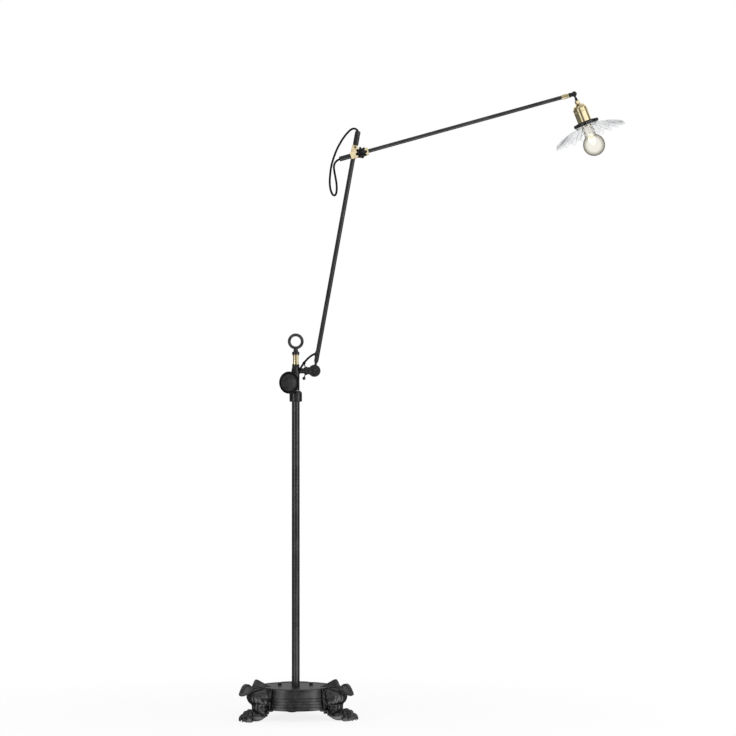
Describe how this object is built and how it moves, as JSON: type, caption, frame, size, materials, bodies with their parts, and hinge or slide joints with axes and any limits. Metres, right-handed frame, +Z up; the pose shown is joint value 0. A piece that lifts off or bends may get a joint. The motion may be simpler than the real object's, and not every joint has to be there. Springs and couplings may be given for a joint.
{
  "type": "swing arm floor lamp",
  "caption": "Floor lamp on a claw-footed drum, with a swinging elbow, leaning arm, cross clamp, sliding boom and brass lamp head with a fluted glass shade.",
  "frame": {"origin": "on the floor, on the pole's axis, between the three claw feet", "axes": "+Z up along the pole; +X from the pole towards the lamp head; +Y to the rear, so the picture looks along +Y"},
  "size_m": [1.0403, 0.2964, 1.6885],
  "materials": {
    "cast_base": "satin blackened",
    "black_iron": "satin black",
    "brass": "polished, lightly aged",
    "steel": "turned",
    "cloth_cord": "braided cloth",
    "rubber": "matt",
    "ceramic": "glazed",
    "nylon": "matt",
    "shade_glass": "clear, fluted",
    "bulb_glass": "clear",
    "filament": "glowing"
  },
  "bodies": {
    "stand": {"base_drum": "cast_base", "cover_plate": "cast_base", "base_bolts": "black_iron", "claw_feet": "cast_base", "pole": "black_iron", "pole_locknut": "steel", "cord_bushing": "rubber", "pole_collar": "black_iron", "collar_screws": "steel", "spindle": "steel", "spindle_nut": "steel", "thrust_washer": "steel", "pole_wire": "cloth_cord"},
    "swing_head": {"swivel_body": "black_iron", "bearing_bush": "brass", "bell_hub": "black_iron", "top_nipple": "steel", "lower_nut": "black_iron", "brass_spacer": "brass", "upper_nut": "black_iron", "eye_ring": "black_iron", "roll_screw": "steel"},
    "lock_wheel": {"lock_wheel": "black_iron"},
    "wing_lever": {"wing_lever": "black_iron"},
    "elbow": {"elbow_fork": "black_iron", "elbow_bolt": "black_iron", "elbow_nut": "black_iron", "elbow_cord_lower": "cloth_cord"},
    "lower_arm": {"elbow_eye": "black_iron", "lower_tube": "black_iron", "side_grommet": "rubber", "lower_sleeve": "black_iron", "rear_block": "brass", "block_screws": "black_iron", "lower_wire": "cloth_cord", "elbow_cord_upper": "cloth_cord"},
    "upper_clamp": {"front_block": "brass", "slide_liner": "nylon", "pivot_nut": "brass", "loop_cord_fall": "cloth_cord"},
    "clamp_knob": {"star_knob": "black_iron"},
    "upper_arm": {"upper_tube": "black_iron", "tail_sleeve": "black_iron", "arm_ferrule": "brass", "upper_wire": "cloth_cord", "loop_cord_rise": "cloth_cord"},
    "head_swivel": {"head_fork": "black_iron", "tilt_pin": "black_iron"},
    "lamp_head": {"head_eye": "black_iron", "neck_nut": "brass", "socket_cap": "brass", "socket_shell": "brass", "socket_insulator": "ceramic", "socket_contacts": "brass", "shade_holder": "black_iron", "shade_screws": "black_iron", "glass_shade": "shade_glass", "bulb_glass": "bulb_glass", "bulb_base": "brass", "filament": "filament"}
  },
  "joints": [
    {"name": "swing", "type": "hinge", "parent": "stand", "child": "swing_head", "pos_m": [0, 0, 0.9], "axis": [0, 0, 1], "range_deg": [-170, 170]},
    {"name": "lock_wheel_turn", "type": "hinge", "parent": "swing_head", "child": "lock_wheel", "pos_m": [0, 0, 0.9048], "axis": [-0.454, -0.891, 0], "range_deg": [0, 270]},
    {"name": "wing_lever_turn", "type": "hinge", "parent": "swing_head", "child": "wing_lever", "pos_m": [0.026, 0, 0.9365], "axis": [1, 0, 0], "range_deg": [-90, 0]},
    {"name": "neck_roll", "type": "hinge", "parent": "swing_head", "child": "elbow", "pos_m": [0.032, 0, 0.9365], "axis": [1, 0, 0], "range_deg": [-45, 45], "deforming": ["elbow_cord_lower"]},
    {"name": "elbow_pitch", "type": "hinge", "parent": "elbow", "child": "lower_arm", "pos_m": [0.0505, 0, 0.9365], "axis": [0, 1, 0], "range_deg": [-15, 50], "deforming": ["elbow_cord_upper"]},
    {"name": "clamp_pivot", "type": "hinge", "parent": "lower_arm", "child": "upper_clamp", "pos_m": [0.17737, 0, 1.52276], "axis": [0, 1, 0], "range_deg": [-30, 45], "deforming": ["loop_cord_fall"]},
    {"name": "knob_turn", "type": "hinge", "parent": "upper_clamp", "child": "clamp_knob", "pos_m": [0.17737, -0.019, 1.52276], "axis": [0, -1, 0], "range_deg": [0, 270]},
    {"name": "reach_slide", "type": "slide", "parent": "upper_clamp", "child": "upper_arm", "axis": [0.9636, 0, 0.2672], "range_m": [-0.1, 0], "deforming": ["loop_cord_rise"]},
    {"name": "head_swivel", "type": "hinge", "parent": "upper_arm", "child": "head_swivel", "pos_m": [0.74977, -0.019, 1.6815], "axis": [0.9636, 0, 0.2672], "range_deg": [-150, 150]},
    {"name": "head_tilt", "type": "hinge", "parent": "head_swivel", "child": "lamp_head", "pos_m": [0.74977, -0.019, 1.6815], "axis": [0, 1, 0], "range_deg": [-60, 40]}
  ]
}
